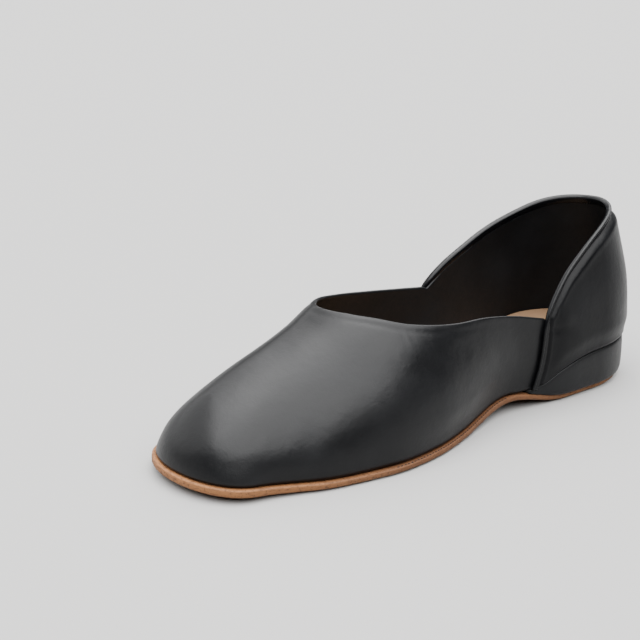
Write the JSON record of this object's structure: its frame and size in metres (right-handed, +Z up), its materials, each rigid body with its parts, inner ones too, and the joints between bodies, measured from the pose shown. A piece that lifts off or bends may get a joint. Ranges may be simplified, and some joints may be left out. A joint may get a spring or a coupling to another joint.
{
  "type": "closed-back leather house slipper",
  "caption": "Left house slipper with a smooth leather vamp, a full back with a rolled collar edge, a covered wedge heel and a thin leather sole.",
  "frame": {"origin": "on the floor under the middle of the shoe's length and width", "axes": "+Z up, -Y to the toe, +X to the outer side of the left foot"},
  "size_m": [0.0956, 0.2988, 0.0988],
  "materials": {
    "sole_leather": "natural tan sole leather, matt, with a flecked cut edge",
    "heel_cover": "smooth black leather, satin",
    "insole_leather": "natural lining leather, matt",
    "upper_leather": "smooth black leather, satin with soft creases",
    "edge_leather": "folded black leather, a little glossier at its crest"
  },
  "bodies": {
    "root": {"outsole": "sole_leather", "heel_wedge": "heel_cover", "insole": "insole_leather", "upper": "upper_leather", "quarter": "upper_leather", "collar_binding": "edge_leather"}
  },
  "joints": []
}
